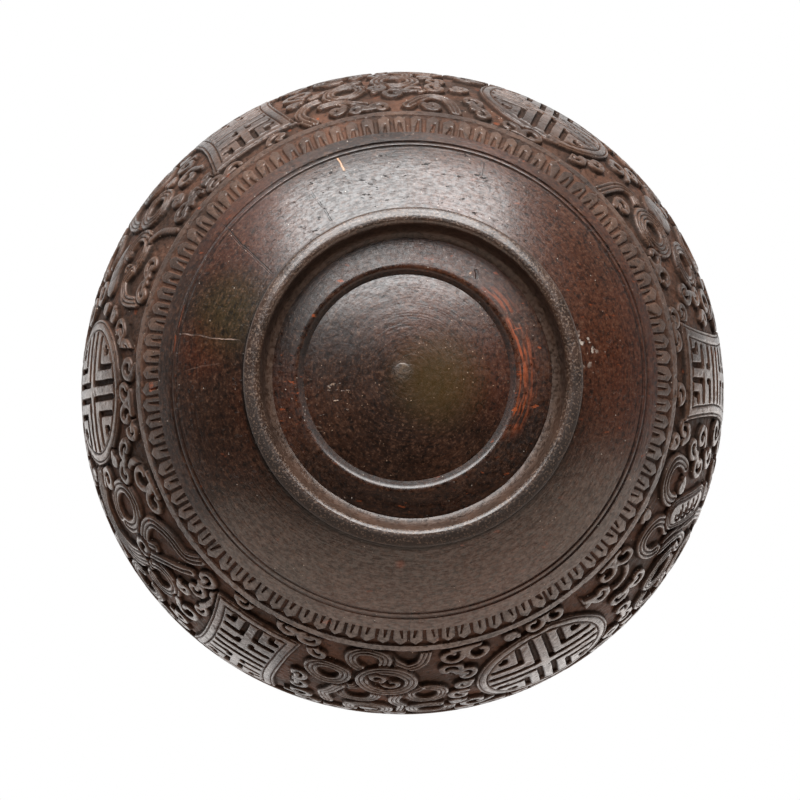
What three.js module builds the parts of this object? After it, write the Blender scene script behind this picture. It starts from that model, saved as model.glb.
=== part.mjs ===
// A turned and carved coconut-shell bowl, standing on its foot with its mouth up.
// Millimetres, +Z up. The origin is the centre of the foot's underside.
import * as THREE from 'three';

// The shell: a round nut, cut across a little above its widest line
const BELLY_RADIUS = 65; // at the widest line, over the relief
const SHELL_WALL = 3.8;
const RIM_RISE = 6; // rim above the widest line
const LEDGE_CLEARANCE = 2.6; // lowest point of the shell above the table

// Turned bands, measured along the shell, in order from its widest line towards the foot
const UPPER_FILLET = 1.8;
const FRIEZE_WIDTH = 39.3;
const LOWER_FILLET = 1.8;
const LAPPET_BAND = 5.2;
const PLAIN_BAND = 3.2;
const LINE_WIDTH = 0.6;
const LINE_PITCH = 1.25;
const FRIEZE_DEPTH = 0.9;
const LAPPET_DEPTH = 0.45;
const LINE_DEPTH = 0.35;

// The foot: a turned ring, hollowed to the shell's curve and glued on
const FOOT_RADIUS = 31.75;
const FOOT_FACE = 2.4; // standing face, with its two rounded edges
const INNER_ROUND = 0.4;
const OUTER_ROUND = 1; // the outer edge is turned to a bead
const FOOT_WAIST = 0.8; // the outer wall draws in by this much towards the shell
const FOOT_SLOPE = 2.8; // the inner wall leans in by this much towards the shell
const FOOT_LIP = 0.4; // thickness left where the inner wall meets the shell

// The plug: a tapered disc in the eye end of the nut, a sloped step below the shell around it
const PLUG_RADIUS = 19;
const PLUG_TAPER = 0.9;
const PLUG_CROWN = 2.5;
const CROWN_FLAT = 10.3; // the crown is all but flat out to here
const STEP_WIDTH = 1.6;
const STEP_DEPTH = 1.1;
const NUB_RADIUS = 1.6;
const NUB_HEIGHT = 0.15;

// The liner: thin tin, spun to the inside and turned over the rim into a rebate
const LINER_WALL = 0.8;
const LIP_DROP = 2.4;

const GLUE_LINE = 0.3; // between any two pieces
const SEGMENTS = 64;
const ARC_STEP = THREE.MathUtils.degToRad(6);
const CURVE_STEPS = 4; // along each small rounded edge or cove
const CROWN_STEPS = 6; // from the plug's nub to its edge

// Where the pieces meet
const plugHole = PLUG_RADIUS + GLUE_LINE;
const ledgeEdge = plugHole + STEP_WIDTH;
const bellyHeight = LEDGE_CLEARANCE + Math.sqrt(BELLY_RADIUS ** 2 - ledgeEdge ** 2);
const rimHeight = bellyHeight + RIM_RISE;
const cavityRadius = BELLY_RADIUS - SHELL_WALL;
const stepFloor = LEDGE_CLEARANCE + STEP_DEPTH;
const plugTop = heightAt(cavityRadius, plugHole - PLUG_TAPER);

// A point of a round profile about the shell's centre, by its angle from the foot's end of the axis
function polar(radius, angle) {
  return new THREE.Vector2(radius * Math.sin(angle), bellyHeight - radius * Math.cos(angle));
}

// Height of that profile, below its widest line, at a distance from the axis
function heightAt(radius, fromAxis) {
  return bellyHeight - Math.sqrt(radius ** 2 - fromAxis ** 2);
}

function angleAtHeight(radius, height) {
  return Math.acos((bellyHeight - height) / radius);
}

function angleAtRadius(radius, fromAxis) {
  return Math.asin(fromAxis / radius);
}

function sweep(radius, from, to) {
  const steps = Math.max(1, Math.ceil(Math.abs(to - from) / ARC_STEP));
  return Array.from({ length: steps + 1 }, (_, i) => polar(radius, from + ((to - from) * i) / steps));
}

// A piece turned on the bowl's axis; its profile runs up the outside and down the inside
function turned(name, profile, finish) {
  const geometry = new THREE.LatheGeometry(profile, SEGMENTS);
  geometry.rotateX(Math.PI / 2);
  const piece = new THREE.Mesh(geometry, new THREE.MeshStandardMaterial(finish));
  piece.name = name;
  return piece;
}

function carvedShell() {
  const down = (distance) => Math.PI / 2 - distance / BELLY_RADIUS;
  const friezeTop = down(UPPER_FILLET);
  const friezeFoot = down(UPPER_FILLET + FRIEZE_WIDTH);
  const lappetTip = down(UPPER_FILLET + FRIEZE_WIDTH + LOWER_FILLET);
  const lappetRoot = down(UPPER_FILLET + FRIEZE_WIDTH + LOWER_FILLET + LAPPET_BAND);
  const upperLine = lappetRoot - (PLAIN_BAND + LINE_WIDTH / 2) / BELLY_RADIUS;
  const lowerLine = upperLine - LINE_PITCH / BELLY_RADIUS;
  const halfLine = LINE_WIDTH / 2 / BELLY_RADIUS;
  const line = (angle) => [
    polar(BELLY_RADIUS, angle - halfLine),
    polar(BELLY_RADIUS - LINE_DEPTH, angle),
    polar(BELLY_RADIUS, angle + halfLine),
  ];

  const rebateRadius = BELLY_RADIUS - LINER_WALL - GLUE_LINE;
  const rebateFoot = rimHeight - LIP_DROP - GLUE_LINE;
  const ledge = angleAtRadius(BELLY_RADIUS, ledgeEdge);
  const start = new THREE.Vector2(plugHole, stepFloor);
  return turned('carved_shell', [
    start,
    ...sweep(BELLY_RADIUS, ledge, lowerLine - halfLine).slice(0, -1),
    ...line(lowerLine),
    ...line(upperLine),
    polar(BELLY_RADIUS, lappetRoot),
    ...sweep(BELLY_RADIUS - LAPPET_DEPTH, lappetRoot, lappetTip),
    polar(BELLY_RADIUS, lappetTip),
    polar(BELLY_RADIUS, friezeFoot),
    ...sweep(BELLY_RADIUS - FRIEZE_DEPTH, friezeFoot, friezeTop),
    polar(BELLY_RADIUS, friezeTop),
    ...sweep(BELLY_RADIUS, Math.PI / 2, angleAtHeight(BELLY_RADIUS, rebateFoot)),
    ...sweep(rebateRadius, angleAtHeight(rebateRadius, rebateFoot), angleAtHeight(rebateRadius, rimHeight)),
    ...sweep(
      cavityRadius,
      angleAtHeight(cavityRadius, rimHeight),
      angleAtRadius(cavityRadius, plugHole - PLUG_TAPER),
    ),
    start.clone(),
  ], { color: 0x33261f, roughness: 0.4, metalness: 0 });
}

function footRing() {
  const seatRadius = BELLY_RADIUS + GLUE_LINE;
  const waist = FOOT_RADIUS - FOOT_WAIST;
  const innerEdge = FOOT_RADIUS - FOOT_FACE;
  const innerTop = innerEdge - FOOT_SLOPE;
  const outerTop = heightAt(seatRadius, waist);
  const lip = heightAt(seatRadius, innerTop) - FOOT_LIP;
  const profile = new THREE.Path();
  profile.moveTo(innerEdge, INNER_ROUND);
  profile.quadraticCurveTo(innerEdge, 0, innerEdge + INNER_ROUND, 0);
  profile.lineTo(FOOT_RADIUS - OUTER_ROUND, 0);
  profile.quadraticCurveTo(FOOT_RADIUS, 0, FOOT_RADIUS, OUTER_ROUND);
  profile.quadraticCurveTo(FOOT_RADIUS, outerTop / 2, waist, outerTop);
  const cove = new THREE.Path();
  cove.moveTo(innerTop, lip);
  cove.quadraticCurveTo(innerEdge, lip, innerEdge, INNER_ROUND);
  return turned('foot_ring', [
    ...profile.getPoints(CURVE_STEPS),
    ...sweep(seatRadius, angleAtRadius(seatRadius, waist), angleAtRadius(seatRadius, innerTop)).slice(1),
    ...cove.getPoints(CURVE_STEPS),
  ], { color: 0x3a302a, roughness: 0.7, metalness: 0 });
}

function basePlug() {
  const crownFloor = stepFloor - PLUG_CROWN;
  const nub = new THREE.Path();
  nub.moveTo(0, crownFloor - NUB_HEIGHT);
  nub.quadraticCurveTo(NUB_RADIUS, crownFloor - NUB_HEIGHT, NUB_RADIUS, crownFloor);
  const crown = new THREE.Path();
  crown.moveTo(NUB_RADIUS, crownFloor);
  crown.quadraticCurveTo(CROWN_FLAT, crownFloor, PLUG_RADIUS, stepFloor);
  return turned('base_plug', [
    ...nub.getPoints(CURVE_STEPS),
    ...crown.getPoints(CROWN_STEPS).slice(1),
    new THREE.Vector2(PLUG_RADIUS - PLUG_TAPER, plugTop),
    new THREE.Vector2(0, plugTop),
  ], { color: 0x3b2d26, roughness: 0.5, metalness: 0 });
}

function liner() {
  const outside = cavityRadius - GLUE_LINE;
  const inside = outside - LINER_WALL;
  const under = plugTop + GLUE_LINE;
  const floor = under + LINER_WALL;
  const lipUnder = rimHeight + GLUE_LINE;
  const lipTop = lipUnder + LINER_WALL;
  const lipInside = BELLY_RADIUS - LINER_WALL;
  const lipFoot = rimHeight - LIP_DROP;
  const outerEdge = polar(BELLY_RADIUS, angleAtHeight(BELLY_RADIUS, lipUnder));
  const innerEdge = polar(inside, angleAtHeight(inside, lipUnder));
  const roll = new THREE.Path();
  roll.moveTo(outerEdge.x, outerEdge.y);
  roll.quadraticCurveTo(outerEdge.x, lipTop, outerEdge.x - LINER_WALL, lipTop);
  roll.lineTo(innerEdge.x + LINER_WALL, lipTop);
  roll.quadraticCurveTo(innerEdge.x, lipTop, innerEdge.x, innerEdge.y);
  return turned('liner', [
    new THREE.Vector2(0, under),
    ...sweep(outside, angleAtHeight(outside, under), angleAtHeight(outside, lipUnder)),
    ...sweep(lipInside, angleAtHeight(lipInside, lipUnder), angleAtHeight(lipInside, lipFoot)),
    polar(BELLY_RADIUS, angleAtHeight(BELLY_RADIUS, lipFoot)),
    ...roll.getPoints(CURVE_STEPS),
    ...sweep(inside, angleAtHeight(inside, lipUnder), angleAtHeight(inside, floor)).slice(1),
    new THREE.Vector2(0, floor),
  ], { color: 0x8f8d86, roughness: 0.45, metalness: 0.9 });
}

const bowl = new THREE.Group();
bowl.add(carvedShell(), footRing(), basePlug(), liner());
export default bowl;
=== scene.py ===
import math

import bpy
import numpy as np
from mathutils import Matrix, Vector


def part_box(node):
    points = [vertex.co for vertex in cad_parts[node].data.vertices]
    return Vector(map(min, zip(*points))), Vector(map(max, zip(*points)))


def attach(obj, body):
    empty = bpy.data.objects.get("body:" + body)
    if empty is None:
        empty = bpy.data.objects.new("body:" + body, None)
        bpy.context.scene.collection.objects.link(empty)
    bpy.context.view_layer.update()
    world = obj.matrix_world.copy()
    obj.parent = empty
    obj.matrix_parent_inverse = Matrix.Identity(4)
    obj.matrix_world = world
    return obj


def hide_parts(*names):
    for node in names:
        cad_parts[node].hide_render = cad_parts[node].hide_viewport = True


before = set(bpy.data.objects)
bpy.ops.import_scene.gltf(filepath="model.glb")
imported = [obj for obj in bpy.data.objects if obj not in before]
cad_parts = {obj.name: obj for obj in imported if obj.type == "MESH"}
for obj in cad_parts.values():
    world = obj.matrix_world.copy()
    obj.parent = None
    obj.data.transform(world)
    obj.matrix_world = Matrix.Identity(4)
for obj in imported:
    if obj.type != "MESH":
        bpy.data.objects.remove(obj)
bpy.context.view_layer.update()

# The shell: one coconut, cut across above its widest line, turned round and polished on the lathe.
# Its lower end is opened and stepped for a plug, two fine lines are cut around it, and a channel
# holds the carved bands that come next.
MM = 0.001
SHELL_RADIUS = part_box("carved_shell")[1].x / MM
RIM_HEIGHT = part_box("carved_shell")[1].z / MM
LEDGE_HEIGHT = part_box("carved_shell")[0].z / MM
LEDGE_EDGE = 20.9
PLUG_HOLE = 19.3
STEP_DEPTH = 1.1
SHELL_WALL = 3.8
SHELL_CENTRE = LEDGE_HEIGHT + math.sqrt(SHELL_RADIUS**2 - LEDGE_EDGE**2)
# Angles are in degrees from the foot's end of the axis, seen from the shell's centre
LINES = (43.41, 44.52)
LINES_MIDDLE, LINES_REACH = 44.0, 1.5
LINE_WIDTH = 0.72
LINE_DEPTH = 0.5
LAPPET_ROOT = 47.4
LAPPET_TIP = 52.3
FRIEZE_FOOT = 53.77
FRIEZE_TOP = 88.41
CARVED_TOP = 90.0
CHANNEL = 1.9
LIP_REBATE = 1.1
LIP_FOOT = RIM_HEIGHT - 2.7
HOLLOW_FOOT = 18.0
CREASE = math.radians(32)
# The hole for the plug and the place of the foot lie a little off the axis
PLUG_ASIDE = (-0.75, 0.5)
FOOT_ASIDE = (0.38, 0.4)


def on_shell(angle, depth=0.0):
    """A point of the shell's outline, or this far under it: (from the axis, height)."""
    reach = SHELL_RADIUS - depth
    turn = math.radians(angle)
    return reach * math.sin(turn), SHELL_CENTRE - reach * math.cos(turn)


def shell_angle(height, depth=0.0):
    return math.degrees(math.acos((SHELL_CENTRE - height) / (SHELL_RADIUS - depth)))


def arc(start, end, steps, depth=0.0):
    """Points of the shell's outline between two angles, or this far under it."""
    return [on_shell(angle, depth) for angle in np.linspace(start, end, steps)]


def climb(low, high, steps, depth=0.0):
    """The same between two heights."""
    return arc(shell_angle(low, depth), shell_angle(high, depth), steps, depth)


def curve(start, corner, end, steps):
    """A round stretch of an outline: from start towards corner, then to end."""
    t = np.linspace(0, 1, steps)[:, None]
    return [*((1 - t) ** 2 * np.array(start) + 2 * t * (1 - t) * np.array(corner) + t**2 * np.array(end))]


def turned(name, outline, steps):
    """A piece spun on the bowl's axis from half its section, given as (from the axis, height) in mm."""
    bpy.ops.object.select_all(action="DESELECT")
    bpy.ops.mesh.primitive_circle_add(vertices=len(outline), radius=MM)
    piece = bpy.context.object
    piece.name = piece.data.name = name
    for vertex, (out, height) in zip(piece.data.vertices, outline):
        vertex.co = (out * MM, 0, height * MM)
    bpy.ops.object.mode_set(mode="EDIT")
    bpy.ops.mesh.select_all(action="SELECT")
    bpy.ops.mesh.spin(steps=steps, angle=2 * math.pi, center=(0, 0, 0), axis=(0, 0, 1))
    bpy.ops.mesh.select_all(action="SELECT")
    bpy.ops.mesh.remove_doubles(threshold=1e-7)
    bpy.ops.mesh.delete_loose()
    bpy.ops.mesh.select_all(action="SELECT")
    bpy.ops.mesh.normals_make_consistent(inside=False)
    bpy.ops.object.mode_set(mode="OBJECT")
    bpy.ops.object.shade_smooth_by_angle(angle=CREASE)
    lay_flat(piece, np.array(outline, float) * MM)
    return piece


def lay_flat(piece, outline):
    """A map of a turned piece: round the axis across, and along its outline upwards."""
    mesh = piece.data
    places = points_of(piece)
    corner = np.empty(len(mesh.loops), int)
    mesh.loops.foreach_get("vertex_index", corner)
    first = np.empty(len(mesh.polygons), int)
    count = np.empty(len(mesh.polygons), int)
    mesh.polygons.foreach_get("loop_start", first)
    mesh.polygons.foreach_get("loop_total", count)
    face = np.repeat(np.arange(len(first)), count)
    out = np.hypot(places[:, 0], places[:, 1])
    middle = np.add.reduceat(places[corner], first) / count[:, None]
    facing = np.arctan2(middle[:, 1], middle[:, 0])[face]
    turn = np.arctan2(places[corner, 1], places[corner, 0])
    turn = facing + (turn - facing + math.pi) % (2 * math.pi) - math.pi
    turn = np.where(out[corner] < 1e-6, facing, turn)
    lengths = np.hypot(*(np.roll(outline, -1, axis=0) - outline).T)
    far = np.abs(out[:, None] - outline[:, 0]) + np.abs(places[:, 2:] - outline[:, 1])
    along = (np.append(0, np.cumsum(lengths)[:-1]) / lengths.sum())[far.argmin(1)][corner]
    farthest = np.maximum.reduceat(along, first)[face]
    along = np.where(farthest - along > 0.5, along + 1, along)
    spot = np.c_[(turn / (2 * math.pi) + 0.52) / 1.04, along]
    layer = mesh.uv_layers.active or mesh.uv_layers.new()
    layer.name = "OFBake"
    layer.uv.foreach_set("vector", spot.astype(np.float32).ravel())


def points_of(piece):
    places = np.empty(3 * len(piece.data.vertices), np.float32)
    piece.data.vertices.foreach_get("co", places)
    return places.reshape(-1, 3).astype(float)


def move_points(piece, places):
    piece.data.vertices.foreach_set("co", places.astype(np.float32).ravel())
    piece.data.update()


def eased(value, low, high):
    t = np.clip((value - low) / (high - low), 0, 1)
    return t * t * (3 - 2 * t)


def wander(turn, *waves):
    """A slow drift round the bowl: each wave is (times round, size, start)."""
    return sum(size * np.cos(times * turn + start) for times, size, start in waves)


def mark(piece, fact, values):
    """Keeps a value with each point of a piece, for its finish to read."""
    piece.data.attributes.new(fact, "FLOAT", "POINT").data.foreach_set("value", values.astype(np.float32))


def arms(polar, turn):
    """Directions from the shell's centre: the angle from the foot's end of the axis, and that round it."""
    return np.c_[np.sin(polar) * np.cos(turn), np.sin(polar) * np.sin(turn), -np.cos(polar)]


def shell_outline():
    step_wide, step_deep = LEDGE_EDGE - 0.5 - PLUG_HOLE, STEP_DEPTH - 0.2
    step = [(PLUG_HOLE + step_wide * t, LEDGE_HEIGHT + 0.35 + step_deep * (1 - t) ** 1.1)
            for t in np.linspace(0, 1, 9)]
    ledge = shell_angle(LEDGE_HEIGHT) + 0.7
    step += curve(step[-1], (LEDGE_EDGE, LEDGE_HEIGHT), on_shell(ledge - 0.05), 6)[1:-1]
    angles = [*np.arange(ledge, LINES[0] - 0.6, 0.4), *np.arange(LINES[0] - 0.6, LINES[1] + 0.6, 0.07)]
    angles += [*np.arange(LINES[1] + 0.6, LAPPET_ROOT, 0.3), LAPPET_ROOT]
    wide = math.degrees(LINE_WIDTH / 2 / SHELL_RADIUS)
    outside = []
    for angle in angles:
        cut = max(0, *(1 - abs(angle - line) / wide for line in LINES))
        outside.append(on_shell(angle, LINE_DEPTH * cut**0.7))
    channel = arc(LAPPET_ROOT + 0.02, CARVED_TOP - 0.02, 14, CHANNEL)
    rim = arc(CARVED_TOP, shell_angle(LIP_FOOT), 5) + climb(LIP_FOOT, RIM_HEIGHT, 2, LIP_REBATE)
    hollow = arc(shell_angle(RIM_HEIGHT, SHELL_WALL), HOLLOW_FOOT, 40, SHELL_WALL)
    return step + outside + channel + rim + hollow


shell = turned("turned_shell", shell_outline(), 480)
places = points_of(shell)
centre = np.array([0, 0, SHELL_CENTRE * MM])
arm = places - centre
reach = np.linalg.norm(arm, axis=1)
angle = np.degrees(np.arccos(-arm[:, 2] / reach))
turn = np.arctan2(arm[:, 1], arm[:, 0])
outside = reach > (SHELL_RADIUS - 1) * MM
near_lines = np.exp(-(((angle - LINES_MIDDLE) / LINES_REACH) ** 2)) * outside
# The lines are firm on one side of the bowl, fade on the other, and wander as a hand does
firmness = np.where(near_lines > 0.6, 0.62 + 0.38 * np.cos(turn + 1.0), 1)
reach = SHELL_RADIUS * MM - (SHELL_RADIUS * MM - reach) * firmness
mark(shell, "cut", np.clip((SHELL_RADIUS - reach / MM) / LINE_DEPTH, 0, 1) * (near_lines > 0.6))
drift = wander(turn, (1, 0.32, 0.6), (2, 0.16, 2.0), (5, 0.05, 1.1), (9, 0.03, 4))
places = centre + arms(np.radians(angle + near_lines * drift), turn) * reach[:, None]
out = np.hypot(places[:, 0], places[:, 1]) / MM
inwards = 1 - eased(out, LEDGE_EDGE, LEDGE_EDGE + 5)
move_points(shell, places + inwards[:, None] * np.array([*PLUG_ASIDE, 0]) * MM)


class Tone:
    """An output in a finish's nodes. Sums on tones add Math nodes."""

    def __init__(self, finish, socket):
        self.finish, self.socket = finish, socket

    def sum(self, operation, *terms):
        return self.finish.node("Math", {"operation": operation}, dict(enumerate(terms)))

    def __add__(self, other):
        return self.sum("ADD", self, other)

    def __sub__(self, other):
        return self.sum("SUBTRACT", self, other)

    def __rsub__(self, other):
        return self.sum("SUBTRACT", other, self)

    def __mul__(self, other):
        return self.sum("MULTIPLY", self, other)

    def __abs__(self):
        return self.sum("ABSOLUTE", self)

    __radd__, __rmul__ = __add__, __mul__

    def band(self, low, high):
        """0 where it is under low, 1 over high, eased between; the other way if low is over high."""
        if low > high:
            return 1 - self.band(high, low)
        eased = {"interpolation_type": "SMOOTHSTEP"}
        return self.finish.node("MapRange", eased, {0: self, 1: low, 2: high})


class Nodes:
    """The nodes of a material, or of the world."""

    def __init__(self, tree):
        self.tree = tree

    def node(self, kind, settings=(), sockets=(), output=0):
        made = self.tree.nodes.new("ShaderNode" + kind)
        for name, value in dict(settings).items():
            setattr(made, name, value)
        for name, value in dict(sockets).items():
            if isinstance(value, Tone):
                self.tree.links.new(value.socket, made.inputs[name])
            else:
                made.inputs[name].default_value = value
        return Tone(self, made.outputs[output])


def paint(red, green, blue):
    """A colour as seen in plain light, as the linear value that a shader takes."""
    parts = (part / 255 for part in (red, green, blue))
    return *(part / 12.92 if part < 0.04 else ((part + 0.055) / 1.055) ** 2.4 for part in parts), 1


class Finish(Nodes):
    """A material: its shader's plain values, and what changes over the surface."""

    def __init__(self, name, **plain):
        self.material = bpy.data.materials.new(name)
        self.material.use_nodes = True
        super().__init__(self.material.node_tree)
        self.shader = self.tree.nodes["Principled BSDF"]
        for socket, value in plain.items():
            self.shader.inputs[socket.replace("_", " ")].default_value = value
        self.spot = self.node("TexCoord", output="Object")

    def fact(self, name):
        return self.node("Attribute", {"attribute_name": name}, output="Fac")

    def drive(self, socket, tone):
        self.tree.links.new(tone.socket, self.shader.inputs[socket])

    def grain(self, size, detail=2.0, at=None, rough=0.5):
        """Cloudy unevenness from 0 to 1, with features of about this size in mm."""
        sockets = {"Vector": at or self.spot, "Scale": 0.5 / (size * MM)}
        return self.node("TexNoise", {}, {**sockets, "Detail": detail, "Roughness": rough})

    def patches(self, low, high, size, detail=2.0, at=None, rough=0.5):
        """1 in scattered places, where grain of this size is over high, and 0 where it is under low."""
        return self.grain(size, detail, at, rough).band(low, high)

    def cells(self, size, at=None):
        """The distance to scattered points this far apart, from 0 to about 1."""
        return self.node("TexVoronoi", {}, {"Vector": at or self.spot, "Scale": 1 / (size * MM)})

    def mixed(self, share, one, other):
        colour = {"data_type": "RGBA", "clamp_factor": True}
        ends = [end if isinstance(end, Tone) else paint(*end) for end in (one, other)]
        return self.node("Mix", colour, {0: share, 6: ends[0], 7: ends[1]}, 2)

    def lay(self, colour, share):
        """Paints a colour over those before it, as much as share says."""
        self.colour = self.mixed(share, self.colour, colour)

    def vector(self, operation, one, other, output=0):
        return self.node("VectorMath", {"operation": operation}, {0: one, 1: other}, output)

    def bump(self, height, deep):
        """A normal that follows a height from 0 to 1, this deep in mm."""
        sockets = {"Height": height, "Strength": 1.0, "Distance": deep * MM}
        return self.node("Bump", {}, sockets)

    def part(self, axis):
        return self.node("SeparateXYZ", {}, {0: self.spot}, axis)

    def from_axis(self, aside=(0, 0)):
        """Distance from the bowl's axis, or from a line beside it, in mm."""
        flat = self.vector("MULTIPLY", self.spot, (1 / MM, 1 / MM, 0))
        return self.vector("DISTANCE", flat, (*aside, 0), "Value")

    def lathe_marks(self, pitch, length=14):
        """Fine rings left by turning and rubbing; each fades along its length."""
        slow = self.vector("MULTIPLY", self.spot, (1 / length / MM,) * 3)
        rings = self.node("CombineXYZ", {}, {2: self.from_axis() * (1 / pitch)})
        sockets = {"Vector": self.vector("ADD", slow, rings), "Scale": 1.0, "Detail": 2.0}
        return self.node("TexNoise", {}, sockets)

    def lacquer(self):
        """Old lacquer, worn through in specks and along the lathe's rings."""
        left = self.lathe_marks(0.3, 1.4) * 0.4 + self.grain(0.45, 4, rough=0.75) * 0.6
        return left.band(0.41, 0.59)

    def place(self, azimuth, angle):
        """A place on the shell, in mm; both angles are in degrees."""
        out, height = on_shell(angle)
        side = math.radians(azimuth)
        return Vector((out * math.cos(side), out * math.sin(side), height))

    def scar(self, start, end, width, wobble=0.35):
        """A thin mark on the shell between two places, (azimuth, angle from the foot), in degrees."""
        ends = [self.place(*end) - Vector((0, 0, SHELL_CENTRE)) for end in (start, end)]
        across = ends[0].cross(ends[1]).normalized()
        run = (ends[1] - ends[0]) / (ends[1] - ends[0]).length_squared
        scaled = self.vector("MULTIPLY", self.spot, (1 / MM,) * 3)
        arm = self.vector("SUBTRACT", scaled, (0, 0, SHELL_CENTRE))
        off = self.vector("DOT_PRODUCT", arm, across, "Value") + (self.grain(2.5, 3) - 0.5) * (wobble * 4)
        along = self.vector("DOT_PRODUCT", arm, run, "Value") - ends[0].dot(run)
        length = along.band(0, 0.12) * along.band(1, 0.85)
        return abs(off).band(width, width * 0.4) * length

    def zone(self, azimuth, angle, size):
        """1 at a place on the shell, fading out over a distance in mm."""
        place = self.place(azimuth, angle) * MM
        away = self.vector("DISTANCE", self.spot, place, "Value")
        return away.band(size * MM, size * MM * 0.2)


# Colours are given as seen in plain light
NUT_DARK, NUT_BROWN = (30, 16, 9), (56, 32, 19)
NUT_RED, NUT_OLIVE = (82, 37, 19), (48, 39, 16)
BARE_NUT, CRACK_PALE, PIT_DARK = (138, 66, 32), (190, 150, 120), (12, 8, 6)
SHELL_GLOSS = 1.5


def nut_brown(nut):
    """Old lacquered coconut shell: brown, grained, and clouded with darker, redder and olive places."""
    nut.colour = nut.mixed(nut.patches(0.35, 0.68, 16, 5, rough=0.6), NUT_DARK, NUT_BROWN)
    red = nut.patches(0.5, 0.75, 22, 4) * 0.35
    for share, *where in ((0.35, 3, 40, 26), (0.3, -139, 40, 18), (0.35, -172, 38, 9), (0.35, 0, 14, 13),
                          (0.25, 170, 24, 12)):
        red = red + nut.zone(*where) * share
    nut.lay(NUT_RED, red)
    nut.lay(NUT_OLIVE, nut.zone(-160, 34, 12) * 0.6)
    streaked = nut.lathe_marks(0.4, 1.6) * 0.4 + nut.grain(0.5, 4, rough=0.7) * 0.6
    speck = nut.grain(0.3, 3, rough=0.8)
    nut.lay(PIT_DARK, streaked.band(0.5, 0.38) * 0.8)
    nut.lay(PIT_DARK, speck.band(0.5, 0.36) * 0.6)
    nut.lay((98, 68, 50), streaked.band(0.53, 0.64) * 0.3)
    nut.lay((104, 78, 62), speck.band(0.55, 0.68) * 0.4)


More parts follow.
